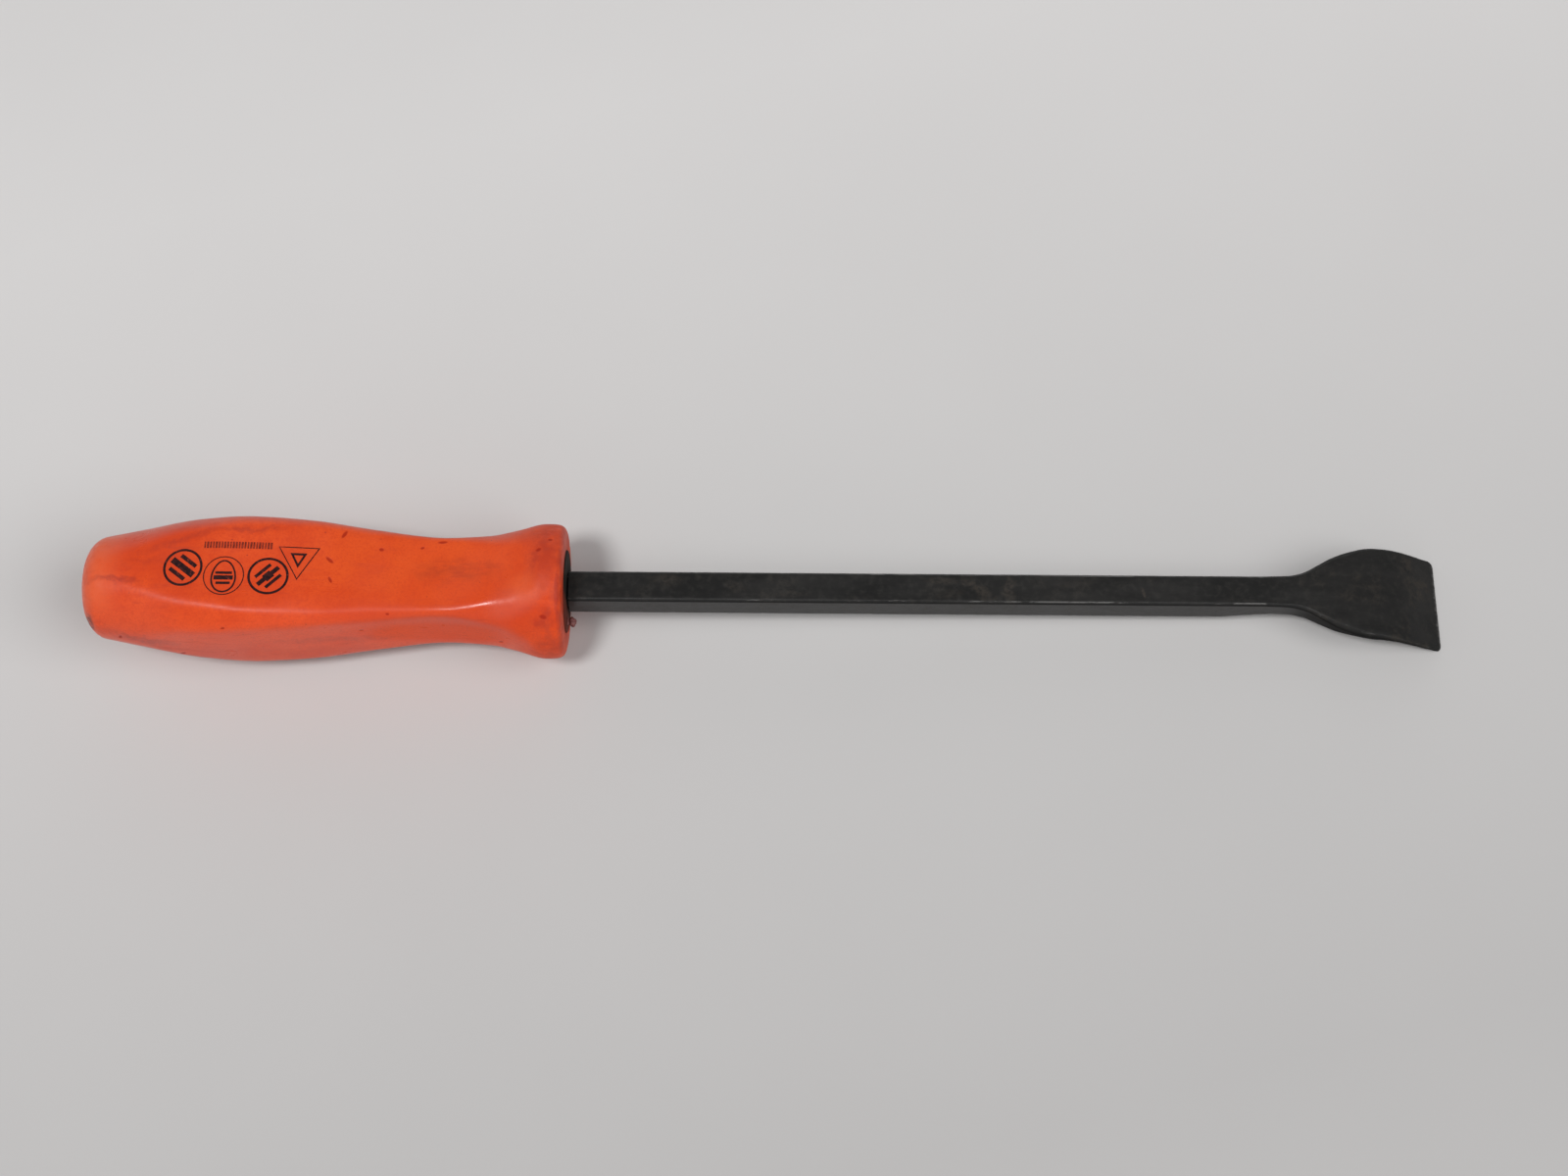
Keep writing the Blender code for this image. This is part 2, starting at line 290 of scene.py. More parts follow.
class Shader:
    """Builder for a procedural material. Inputs are numbers, colours or Values."""

    def __init__(self, name):
        self.material = bpy.data.materials.new(name)
        self.material.use_nodes = True
        self.tree = self.material.node_tree
        coord = self.node("ShaderNodeTexCoord", {}, "Object")
        self.pos = self.scaled(coord, 1 / MM)
        self.x, self.y, self.z = self.split(self.pos)

    def put(self, value, socket):
        if isinstance(value, Value):
            self.tree.links.new(value.socket, socket)
        elif isinstance(value, tuple):
            socket.default_value = (*value, 1.0)
        else:
            socket.default_value = value

    def node(self, kind, inputs, output=0, **props):
        node = self.tree.nodes.new(kind)
        for key, value in props.items():
            setattr(node, key, value)
        for key, value in inputs.items():
            self.put(value, node.inputs[key])
        return Value(self, node.outputs[output])

    def math(self, operation, first, second=0.0):
        return self.node("ShaderNodeMath", {0: first, 1: second, 2: 0.0}, operation=operation)

    def scaled(self, vector, factor):
        return self.node("ShaderNodeVectorMath", {0: vector, "Scale": factor},
                         operation="SCALE")

    def split(self, vector):
        node = self.node("ShaderNodeSeparateXYZ", {0: vector}).socket.node
        return [Value(self, socket) for socket in node.outputs]

    def attribute(self, name, output="Fac"):
        return self.node("ShaderNodeAttribute", {}, output, attribute_name=name)

    def noise(self, scale=1.0, detail=3.0, rough=0.5, distort=0.0, stretch=None, shift=0.0):
        """Noise over the position. `stretch` scales each axis, for grain along one of them."""
        vector = self.pos
        if stretch:
            vector = self.node("ShaderNodeCombineXYZ", {
                0: self.x * stretch[0] + shift, 1: self.y * stretch[1], 2: self.z * stretch[2]})
        return self.node("ShaderNodeTexNoise", {
            "Vector": vector, "Scale": scale, "Detail": detail, "Roughness": rough,
            "Distortion": distort})

    def mix(self, mask, low, high):
        return self.node("ShaderNodeMix", {0: mask, 6: low, 7: high}, 2, data_type="RGBA")

    def paint(self, mask, colour):
        """Lay a colour over the base colour by the mask; a factor on the mask is its strength."""
        self.colour = self.mix(mask, self.colour, colour)

    def ellipse(self, place, at, half, angle=0.0, soft=0.35):
        """1 inside an ellipse on the pair of coordinates `place`, fading to 0 outside."""
        cos, sin = math.cos(math.radians(angle)), math.sin(math.radians(angle))
        across, up = place[0] - at[0], place[1] - at[1]
        first = across * (cos / half[0]) + up * (sin / half[0])
        second = across * (-sin / half[1]) + up * (cos / half[1])
        distance = self.math("SQRT", first * first + second * second)
        return distance.ramp(over=(1 + soft, 1 - soft))

    def patches(self, place, rows):
        """Ellipses from rows of centre (2), half-axes (2), angle, softness, strength."""
        return [self.ellipse(place, row[:2], row[2:4], row[4], row[5]) * row[6] for row in rows]

    def bumps(self, *layers):
        """Normal from layers of (height, distance)."""
        inputs = {}
        for height, distance in layers:
            inputs.update({"Strength": 1.0, "Distance": distance * MM, "Height": height})
            normal = self.node("ShaderNodeBump", inputs)
            inputs = {"Normal": normal}
        return normal

    def finish(self, **inputs):
        names = {"rough": "Roughness", "metal": "Metallic", "normal": "Normal", "ior": "IOR",
                 "spec": "Specular IOR Level"}
        surface = self.tree.nodes["Principled BSDF"].inputs
        self.put(self.colour, surface["Base Color"])
        for key, value in inputs.items():
            self.put(value, surface[names[key]])
        return self.material


# ---- materials --------------------------------------------------------------------
# Rows for Shader.patches: centre (2), half-axes (2), angle in degrees, softness, strength.
GRIP_STAINS = [
    (24.5, 6.6, 9.0, 0.8, 18, 0.8, 0.6), (41.5, 9.8, 6.5, 0.7, 0, 0.8, 0.7),
    (14.0, -21.0, 7.5, 1.8, -28, 0.7, 0.9), (18.0, 1.5, 7.0, 1.1, 4, 0.8, 0.35),
    (60.0, -24.0, 14.0, 1.6, 3, 0.8, 0.5)]
LIP_SCUFFS = [
    (112.6, -13.5, 1.6, 2.4, 0, 0.7, 0.7), (113.5, -22.0, 1.8, 4.0, 0, 0.7, 0.5),
    (112.0, 8.5, 2.6, 3.2, 0, 0.7, 0.5), (112.6, 2.5, 3.0, 6.0, 0, 0.7, 0.95)]
GRIP_ROUGH_PATCHES = [
    (95.0, -9.5, 5.0, 3.0, 0, 0.5, -0.04), (32.0, -12.0, 11.0, 4.0, 0, 0.5, 0.06),
    (65.0, -10.5, 20.0, 3.5, 0, 0.35, 0.09)]
SHANK_SPOTS_FRONT = [
    (217.0, 0.2, 3.8, 1.1, -44, 0.85, 0.8), (224.8, 0.3, 3.4, 1.0, -80, 0.85, 0.75),
    (208.0, 1.9, 3.8, 1.0, 0, 0.6, 0.6), (210.0, -1.6, 3.0, 1.2, 8, 0.6, 0.3)]
SHANK_SPOT_CRISP = [(257.4, -0.9, 1.2, 0.36, -75, 0.5, 1.0)]
SHANK_SPOTS_FAINT = [
    (141.0, 1.7, 3.2, 1.5, 0, 0.9, 0.55), (158.0, 0.2, 2.4, 1.6, 0, 0.6, 0.4),
    (171.0, -1.8, 4.0, 0.8, 0, 0.6, 0.35), (241.0, 1.4, 4.0, 1.0, 5, 0.6, 0.3)]


def grip_material():
    mat = Shader("grip_orange_plastic")
    along, girth, _ = mat.split(mat.attribute("grip_map", "Vector"))
    place = (along, girth)

    # orange, uneven in clouds and bands, with painted light on the low side
    cloud = mat.noise(scale=0.055, detail=3, rough=0.55)
    fine = mat.noise(scale=0.6, detail=4, rough=0.6)
    mat.colour = mat.mix(cloud.ramp(over=(0.35, 0.68)),
                         low=(0.655, 0.057, 0.0105), high=(0.745, 0.079, 0.0150))
    mat.paint(fine.ramp(over=(0.42, 0.70)) * 0.5, colour=(0.61, 0.049, 0.011))
    band = mat.noise(stretch=(0.02, 0.30, 0.30), shift=21.0, detail=4, rough=0.6, distort=0.3)
    mat.paint(band.ramp(over=(0.50, 0.70)) * 0.35, colour=(0.58, 0.045, 0.011))
    warm = mat.ellipse(place, at=(84.0, 2.0), half=(24.0, 12.0), soft=0.6)
    mat.paint(warm * cloud.ramp(over=(0.3, 0.7), to=(0.35, 0.9)), colour=(0.750, 0.094, 0.0150))
    # painted light: the low side towards -Y gets a brighter red, standing for the light that side
    # catches
    painted_side_light = mat.ellipse(place, at=(62.0, -21.0), half=(50.0, 7.5))
    mat.paint(painted_side_light * 0.6, colour=(0.830, 0.084, 0.0140))
    grain = mat.noise(scale=1.9, detail=3, rough=0.65)
    mat.paint(grain.ramp(over=(0.44, 0.68)) * 0.45, colour=(0.57, 0.047, 0.012))
    bloom = most(mat.x.ramp(over=(12.0, 4.0)) * girth.ramp(over=(-15.0, -6.0)),
                 mat.ellipse(place, at=(108.0, -5.0), half=(4.0, 3.0), soft=0.8) * 0.6)
    mat.paint(bloom * fine.ramp(over=(0.25, 0.6), to=(0.45, 0.8)), colour=(0.745, 0.118, 0.040))

    # grime rubbed in along the grip, in long soft streaks
    streak = mat.noise(stretch=(0.035, 0.45, 0.45), detail=4, rough=0.6, distort=0.6)
    patchy = mat.noise(stretch=(0.06, 0.09, 0.09), shift=7.0, detail=3, rough=0.55)
    smear = streak.ramp(over=(0.52, 0.72)) * patchy.ramp(over=(0.42, 0.66))
    mat.paint(smear * 0.42, colour=(0.40, 0.034, 0.012))

    # the darker patch in front of the waist is painted shade, standing for the top facet
    # reflecting a dark part of the room; it and the stains have wandering outlines
    wander = (mat.noise(scale=0.22, detail=3, rough=0.6) - 0.5) * 9.0
    loose = (along + wander, girth + wander * 0.6)
    painted_dark_reflection = mat.ellipse(loose, at=(91.0, 0.6), half=(9.5, 3.3), soft=0.55)
    dark_reflection_grain = mat.noise(stretch=(0.16, 0.5, 0.5), shift=3.0, detail=4, rough=0.65)
    painted_dark_reflection = painted_dark_reflection * dark_reflection_grain.ramp(over=(0.30, 0.66))
    # painted shade: the patch's dark reflection goes into the base colour
    mat.paint(painted_dark_reflection * 0.60, colour=(0.43, 0.046, 0.013))
    stain = most(mat.ellipse(loose, at=(9.6, -3.4), half=(5.4, 0.85), angle=-6, soft=0.7),
                 *mat.patches(loose, GRIP_STAINS))
    stain = stain * fine.ramp(over=(0.32, 0.6), to=(0.45, 1.0))
    mat.paint(stain * 0.6, colour=(0.30, 0.028, 0.02))

    # black rub on the butt's rim, dirt on the butt and the front lip
    rub = mat.ellipse((along, loose[1]), at=(1.9, -14.2), half=(1.1, 3.0), soft=0.5)
    mat.paint(rub * fine.ramp(over=(0.3, 0.5)) * 0.92, colour=(0.035, 0.02, 0.016))
    butt_grain = mat.noise(scale=0.5, detail=4, rough=0.65)
    butt = mat.x.ramp(over=(5.0, 1.2)) * butt_grain.ramp(over=(0.42, 0.66))
    mat.paint(butt * 0.3, colour=(0.42, 0.05, 0.03))
    lip_grain = mat.noise(stretch=(0.5, 0.28, 0.28), shift=2.0, detail=4, rough=0.6)
    lip = mat.x.ramp(over=(107.5, 114.0)) * lip_grain.ramp(over=(0.38, 0.68))
    mat.paint(lip * 0.42, colour=(0.47, 0.060, 0.028))
    edge_grain = mat.noise(scale=0.35, detail=3, rough=0.6)
    edge = mat.x.ramp(over=(115.2, 116.5)) * edge_grain.ramp(over=(0.35, 0.6))
    mat.paint(edge * 0.35, colour=(0.30, 0.03, 0.022))
    scuff = most(mat.ellipse((mat.x + wander * 0.06, girth), at=(115.6, -7.0),
                             half=(0.5, 6.5), soft=0.5),
                 *mat.patches(loose, LIP_SCUFFS))
    scuff = scuff * fine.ramp(over=(0.30, 0.55), to=(0.25, 1.0))
    mat.paint(scuff * 0.62, colour=(0.36, 0.028, 0.015))
    lip_top = mat.ellipse(place, at=(112.4, 0.5), half=(2.6, 6.5), soft=0.7)
    mat.paint(lip_top * 0.6, colour=(0.50, 0.046, 0.016))

    # specks and nicks with dirt pressed into them
    cells = mat.node("ShaderNodeTexVoronoi", {"Vector": mat.pos, "Scale": 0.42}, "Distance")
    speck_area = mat.noise(scale=0.12, detail=2)
    speck = cells.ramp(over=(0.115, 0.06)) * speck_area.ramp(over=(0.5, 0.62))
    mat.paint(speck * 0.6, colour=(0.30, 0.022, 0.014))
    nick = most(*[mat.ellipse(place, row[:2], row[2:4], row[4], soft=0.4) for row in NICKS])
    mat.paint(nick * 0.80, colour=(0.34, 0.013, 0.002))

    # finish: satin from handling, duller in the grime, with fine lengthwise scratches
    scratch = mat.noise(stretch=(0.12, 5.0, 5.0), shift=11.0, detail=3, rough=0.6)
    handled = mat.noise(scale=0.09, detail=3, rough=0.5)
    rough = (handled.ramp(over=(0.3, 0.7), to=(0.27, 0.37))
             + scratch.ramp(over=(0.5, 0.8)) * 0.10 + smear * 0.12 + painted_dark_reflection * 0.03
             + mat.x.ramp(over=(103.0, 109.0)) * 0.12 + lip * 0.08 + butt * 0.12 + nick * 0.2)
    for patch in mat.patches(place, GRIP_ROUGH_PATCHES):
        rough = rough + patch
    peel = mat.noise(scale=0.85, detail=3, rough=0.5)
    normal = mat.bumps((peel, 0.022), (scratch, 0.010), (most(speck * 0.5, nick), -0.03))
    dull = most(mat.x.ramp(over=(101.0, 107.0)),
                mat.ellipse(place, at=(88.0, -20.5), half=(22.0, 6.0)) * 1.4,
                mat.x.ramp(over=(10.0, 3.0)) * 0.4,
                nick,
                mat.ellipse(place, at=(33.0, -12.0), half=(11.0, 4.0), soft=0.5) * 0.9)
    polished = mat.ellipse(place, at=(104.0, -8.6), half=(5.5, 3.4), soft=0.5)
    spec = 0.5 + dull * -0.26 + polished * 0.6
    return mat.finish(rough=rough, normal=normal, ior=1.42, spec=spec)


def steel_material():
    mat = Shader("blade_black_oxide")
    edge = mat.attribute("edge_wear")
    shade_band = mat.attribute("painted_shade_band")
    fan = mat.x.ramp(over=(292.0, 305.0))

    # black oxide, softly mottled
    cloud = mat.noise(stretch=(0.05, 0.16, 0.16), detail=4, rough=0.6)
    mottle = mat.noise(scale=0.55, detail=4, rough=0.65)
    mat.colour = mat.mix(cloud.ramp(over=(0.35, 0.7)),
                         low=(0.0120, 0.0118, 0.0115), high=(0.0180, 0.0172, 0.0165))
    mat.paint(mottle.ramp(over=(0.45, 0.75)) * 0.6, colour=(0.025, 0.0235, 0.0215))

    # brown rubbed patches on the shank, and a brown bloom on the fan
    wander = (mat.noise(scale=0.3, detail=3, rough=0.6) - 0.5) * 7.0
    loose = (mat.x + wander, mat.y + wander * 0.25)
    spots = most(*mat.patches(loose, SHANK_SPOTS_FRONT),
                 *mat.patches((mat.x, loose[1]), SHANK_SPOT_CRISP),
                 *mat.patches(loose, SHANK_SPOTS_FAINT))
    spot_grain = mat.noise(stretch=(0.9, 1.2, 1.2), detail=4, rough=0.7)
    spots = spots * spot_grain.ramp(over=(0.28, 0.62))
    rust_area = mat.noise(scale=0.11, detail=4, rough=0.6)
    rust = rust_area.ramp(over=(0.47, 0.66)) * mottle.ramp(over=(0.35, 0.65))
    brown = most(spots, rust * fan.ramp(over=(0.0, 1.0), to=(0.2, 0.5)))
    mat.paint(brown * 0.68, colour=(0.048, 0.038, 0.029))

    # fine lengthwise rub marks
    rub = mat.noise(stretch=(0.10, 3.2, 3.2), shift=5.0, detail=4, rough=0.65)
    mat.paint(rub.ramp(over=(0.60, 0.82)) * 0.4, colour=(0.050, 0.048, 0.046))

    # bright metal where the oxide has gone from the corners and the working edge
    chip = mat.noise(stretch=(0.22, 0.9, 0.9), shift=2.0, detail=4, rough=0.65)
    fade = mat.noise(stretch=(0.022, 0.05, 0.05), shift=4.0, detail=2, rough=0.5)
    rubbed = most(
        mat.ellipse((mat.x, mat.y), at=(243.0, 0.0), half=(12.0, 9.0), soft=0.2),
        mat.ellipse((mat.x, mat.y), at=(283.4, 0.0), half=(4.6, 9.0), soft=0.3))
    worn = (edge.ramp(over=(0.87, 0.97)) * fan.ramp(over=(1.0, 0.0), to=(0.25, 1.0))
            * (chip + fade * 0.7 + rubbed * 0.22).ramp(over=(0.90, 1.06)))
    tip = (mat.x + chip * 2.2).ramp(over=(TIP_X + 0.4, TIP_X + 1.3)) * 0.55
    bare = most(worn * 0.65, tip)
    # painted shade: darker band under the top corners' highlight and on the fan's sides, where
    # the steel reflects a dark room
    mat.paint(shade_band * 0.7, colour=(0.006, 0.006, 0.006))
    mat.paint(bare, colour=(0.20, 0.195, 0.19))

    rough = (cloud.ramp(over=(0.3, 0.7), to=(0.31, 0.40)) + mottle.ramp(over=(0.4, 0.7)) * 0.06
             + brown * 0.16 + fan * 0.12 + bare * -0.04)
    grain = mat.noise(scale=1.6, detail=4, rough=0.65)
    normal = mat.bumps((mottle, 0.030), (grain, 0.012), (rub, 0.006))
    spec = (0.5 + fan * -0.28) * (1.0 + shade_band * -0.7)
    return mat.finish(rough=rough, metal=bare * 0.9, normal=normal, ior=1.40, spec=spec)


def washer_material():
    mat = Shader("washer_dull_black")
    mottle = mat.noise(scale=0.7, detail=4, rough=0.65)
    mat.colour = mat.mix(mottle.ramp(over=(0.35, 0.7)),
                         low=(0.011, 0.009, 0.008), high=(0.026, 0.018, 0.013))
    rust = mat.noise(scale=0.3, detail=3, rough=0.6).ramp(over=(0.52, 0.7))
    mat.paint(rust * 0.5, colour=(0.052, 0.026, 0.016))
    # painted light: a reddish tint on the -Y side, standing for orange light thrown from the grip
    red = mat.y.ramp(over=(-2.5, -6.0)) * mottle.ramp(over=(0.25, 0.6), to=(0.6, 1.0))
    mat.paint(red * 0.85, colour=(0.150, 0.028, 0.016))
    rough = mottle.ramp(over=(0.3, 0.7), to=(0.65, 0.8))
    return mat.finish(rough=rough, metal=0.0, normal=mat.bumps((mottle, 0.03)), spec=0.12)


def ink_material():
    mat = Shader("grip_print_ink")
    wear = mat.noise(scale=1.3, detail=4, rough=0.7)
    patch = mat.noise(scale=0.16, detail=2, rough=0.5)
    gone = wear.ramp(over=(0.56, 0.72)) * patch.ramp(over=(0.40, 0.62))
    mat.colour = mat.mix(mat.noise(scale=0.8, detail=3).ramp(over=(0.35, 0.7)),
                         low=(0.013, 0.003, 0.004), high=(0.036, 0.006, 0.006))
    mat.paint(gone * 0.75, colour=(0.42, 0.045, 0.02))
    # the row of hatching is fainter
    hatching = mat.ellipse((mat.x, mat.y), at=(38.8, 5.25), half=(11.0, 1.3), soft=0.1)
    mat.paint(hatching * wear.ramp(over=(0.3, 0.6), to=(0.22, 0.60)),
              colour=(0.40, 0.040, 0.016))
    return mat.finish(rough=wear.ramp(over=(0.3, 0.7), to=(0.34, 0.5)),
                      normal=mat.bumps((wear, 0.01)), ior=1.48, spec=0.3)


def fleck_material():
    mat = Shader("dried_adhesive")
    mottle = mat.noise(scale=1.8, detail=4, rough=0.6)
    mat.colour = mat.mix(mottle.ramp(over=(0.35, 0.65)),
                         low=(0.17, 0.050, 0.045), high=(0.30, 0.110, 0.100))
    return mat.finish(rough=mottle.ramp(over=(0.3, 0.7), to=(0.4, 0.65)),
                      normal=mat.bumps((mottle, 0.06)))


def floor_material():
    mat = Shader("pale_floor")
    soft = mat.noise(scale=0.012, detail=3, rough=0.5)
    pale = mat.mix(soft.ramp(over=(0.3, 0.7)),
                   low=(0.585, 0.573, 0.567), high=(0.593, 0.581, 0.575))
    # painted light: the floor's colour brightens towards +Y and -X, standing for the lamps'
    # falloff, within limits
    shade = 0.975 + mat.y * 0.0011 + mat.x * -0.0003
    shade = mat.math("MINIMUM", mat.math("MAXIMUM", shade, 0.80), 1.14)
    mat.colour = mat.scaled(pale, shade)
    return mat.finish(rough=0.62, spec=0.25)


# ---- grip ---------------------------------------------------------------------------
def grip_skin_rings(angles):
    butt = BUTT_ROUND * (1 - np.cos(np.linspace(0, np.pi / 2, 14)))
    body = np.linspace(BUTT_ROUND, LIP_X, 262)[1:]
    lip = LIP_X + (HANDLE_LEN - LIP_X) * np.sin(np.linspace(0, np.pi / 2, 18))[1:]
    rings = [polar_ring(0, radius, angles) for radius in (1.6, 3.2, 4.8, 5.8)]
    for x in np.concatenate([butt, body, lip]):
        rings.append(polar_ring(x, grip_polar(np.full(len(angles), x), angles), angles))
    return rings


def ring_girth(ring):
    """Length round the ring from the top line, positive towards +Y."""
    sides = np.linalg.norm(np.roll(ring, -1, 0) - ring, axis=1)
    arc = np.concatenate([[0], np.cumsum(sides)[:-1]])
    return np.where(arc > sides.sum() / 2, arc - sides.sum(), arc)


def wear_grip(points, girth):
    """A gently uneven skin, dinged at both rims, and the nicks."""
    radial = np.hypot(points[:, 1], points[:, 2])
    outward = points / radial[:, None] * (0, 1, 1)
    depth = 0.035 * positive_field(points, 0.09, 3)
    rim = (np.clip((points[:, 0] - 108.0) / 5.0, 0, 1)
           + np.clip((7.0 - points[:, 0]) / 5.0, 0, 1))
    depth += 0.22 * rim * bumps_field(points, 0.42, 2, (5, 2, 8), above=0.12)
    for nick_x, nick_girth, half_length, half_width, angle in NICKS:
        cos, sin = math.cos(math.radians(angle)), math.sin(math.radians(angle))
        along, across = points[:, 0] - nick_x, girth - nick_girth
        reach = (((along * cos + across * sin) / (half_length * 1.25)) ** 2
                 + ((across * cos - along * sin) / (half_width * 1.6)) ** 2)
        depth += 0.09 * np.exp(-1.2 * reach**1.2) * (reach < 6)
    on_butt = points[:, 0] < 1e-6
    points = points - outward * depth[:, None]
    points[on_butt, 0] = 0.10 * bumps_field(points[on_butt], 0.5, 2, (3, 1, 4), above=0.1)
    crown = points[:, 0] > 116.0
    points[crown, 0] -= 0.5 * depth[crown]
    return points


def grip_socket_rings(angles):
    """From the front rim inwards: the washer's seat, the slot for the wings, the tang's hole."""
    square = tang_hole(angles)
    keyed = np.maximum(square, box_radius(angles, half_y=WING_SPAN / 2 + GAP,
                                          half_z=WING_T / 2 + GAP))
    seat_r, seat_x = WASHER_R + 0.1, WASHER_BACK - GAP
    slot_end, hole_end = WING_X[0] - GAP, TANG_END - GAP
    # x, radius
    profile = [
        (HANDLE_LEN, 11.6), (HANDLE_LEN, seat_r + 0.2), (HANDLE_LEN - 0.06, seat_r + 0.05),
        (HANDLE_LEN - 0.3, seat_r), (seat_x + 0.15, seat_r), (seat_x, seat_r - 0.15),
        (seat_x, 8.0), (seat_x, keyed + 0.05), (seat_x - 0.2, keyed),
        (slot_end, keyed), (slot_end - 0.05, square), (hole_end, square),
        (hole_end, square * 0.4)]
    return [polar_ring(x, radius, angles) for x, radius in profile]


def map_girth(obj, girth):
    """Store x and girth per corner, so that the seam at the bottom stays clean."""
    mesh = obj.data
    full = np.zeros(len(mesh.vertices))
    full[:len(girth)] = girth
    vertex_x = np.array([vertex.co.x for vertex in mesh.vertices]) / MM
    corners = np.zeros(len(mesh.loops), np.int32)
    mesh.loops.foreach_get("vertex_index", corners)
    corner_girth = full[corners]
    for face in mesh.polygons:
        part = corner_girth[face.loop_start:face.loop_start + face.loop_total]
        if part.max() - part.min() > 20:
            part[part < 0] = part.max()
    values = np.zeros((len(corners), 3), np.float32)
    values[:, 0] = vertex_x[corners]
    values[:, 1] = corner_girth
    attribute = mesh.attributes.new("grip_map", "FLOAT_VECTOR", "CORNER")
    attribute.data.foreach_set("vector", values.ravel())


def build_grip():
    angles = circle_angles(288)
    rings = grip_skin_rings(angles)
    girth = np.concatenate([ring_girth(ring) for ring in rings])
    rings = split_rings(wear_grip(np.concatenate(rings), girth), len(angles))
    obj = skin("handle_grip", rings + grip_socket_rings(angles),
               cap_start=(0.0, 0.0, 0.0), cap_end=(TANG_END - GAP, 0.0, 0.0))
    map_girth(obj, girth)
    return obj


# ---- blade --------------------------------------------------------------------------
CORNER_PTS, SIDE_PTS, CORNER_POWER = 9, 9, 1.35


def rounded_section(x, width, top, bottom, radius):
    """Rounded rectangle, counted round from the +Y top corner.

    Returns its points, their edge weights, and their weights for the painted shade: a band low on
    each top corner and on the fan's sides.
    """
    half, thick = width / 2, top - bottom
    radius = min(radius, 0.42 * thick, 0.42 * width)
    corners = []
    for y, z, start in ((half - radius, top - radius, 0), (-half + radius, top - radius, 90),
                        (-half + radius, bottom + radius, 180),
                        (half - radius, bottom + radius, 270)):
        arc = []
        for k in range(CORNER_PTS):
            angle = math.radians(start + 90 * k / (CORNER_PTS - 1))
            cos, sin = math.cos(angle), math.sin(angle)
            arc.append((y + radius * math.copysign(abs(cos) ** (2 / CORNER_POWER), cos),
                        z + radius * math.copysign(abs(sin) ** (2 / CORNER_POWER), sin)))
        corners.append(arc)
    points, edge, shade_band = [], [], []
    for i, arc in enumerate(corners):
        for k, point in enumerate(arc):
            points.append(point)
            if i < 2:
                from_top = k if i == 1 else CORNER_PTS - 1 - k
                edge.append(1.0 - 0.06 * abs(from_top - 2))
                # painted shade: a dark band low on each top corner, under its highlight
                shade_band.append(max(0.0, 1 - 0.4 * abs(from_top - 6)))
            else:
                edge.append(1.0 - 0.06 * abs(k - (CORNER_PTS - 1) / 2))
                shade_band.append(0.0)
        (y, z), (next_y, next_z) = arc[-1], corners[(i + 1) % 4][0]
        on_side = i in (1, 3)
        for k in range(1, SIDE_PTS):
            # the points of a straight side crowd towards its ends
            even = k / SIDE_PTS
            part = 0.35 * even + 0.65 * (0.5 - 0.5 * math.cos(math.pi * even))
            points.append((y + (next_y - y) * part, z + (next_z - z) * part))
            near = min(part, 1 - part) * (thick if on_side else width)
            edge.append(max(0.0, 0.6 - near / 0.5))
            # painted shade on the sides of the fan
            shade_band.append(0.8 * min(1.0, max(0.0, (x - 291.0) / 7.0)) if on_side else 0.0)
    return np.array([(x, y, z) for y, z in points]), edge, shade_band


def tang_sections():
    """Arguments of rounded_section along the tang and its flattened wings."""
    def section(x, width, thick):
        return x, width, thick / 2, -thick / 2, 0.5

    sections = [section(TANG_END, TANG - 1.4, TANG - 1.4),
                section(TANG_END + 0.6, TANG - 0.4, TANG - 0.4)]
    stations = np.concatenate([
        [TANG_END + 1.2], np.linspace(WING_X[0], WING_X[0] + WING_RAMP, 13),
        np.linspace(WING_X[1] - WING_RAMP, WING_X[1], 13), [SHANK_X]])
    for x in stations:
        part = max(0.0, min(1.0, (x - WING_X[0]) / WING_RAMP, (WING_X[1] - x) / WING_RAMP))
        # the section first thins, then spreads
        sections.append(section(x, TANG + (WING_SPAN - TANG) * max(0.0, 2 * part - 1),
                                TANG + (WING_T - TANG) * min(1.0, 2 * part)))
    sections.append(section(SHANK_X, SHANK - 0.3, SHANK - 0.3))
    return sections


def shank_sections():
    """Arguments of rounded_section from the washer to the tip."""
    corner_x = TIP_X - TIP_CORNER
    corner_angles = np.radians([2, 15, 28, 40, 51, 61, 70, 78, 84, 90])
    stations = np.concatenate([
        SHANK_X + np.array([0.12, 0.4]), np.arange(SHANK_X + 0.9, 276.5, 0.55),
        np.arange(276.9, 300.0, 0.3), np.arange(300.0, corner_x, 0.22),
        corner_x + TIP_CORNER * np.sin(corner_angles)])
    width, top, thick = (curve(table, stations) for table in (WIDTH, TOP, THICK))
    part = np.clip((stations - corner_x) / TIP_CORNER, 0, 1)
    width = width - 2 * TIP_CORNER * (1 - np.sqrt(1 - part * part))
    radius = (0.66 + 0.75 * np.clip((stations - 292.0) / 14.0, 0, 1)
              - 0.75 * np.clip((stations - 318.0) / 8.0, 0, 1))
    return list(zip(stations, width, top, top - thick, radius))


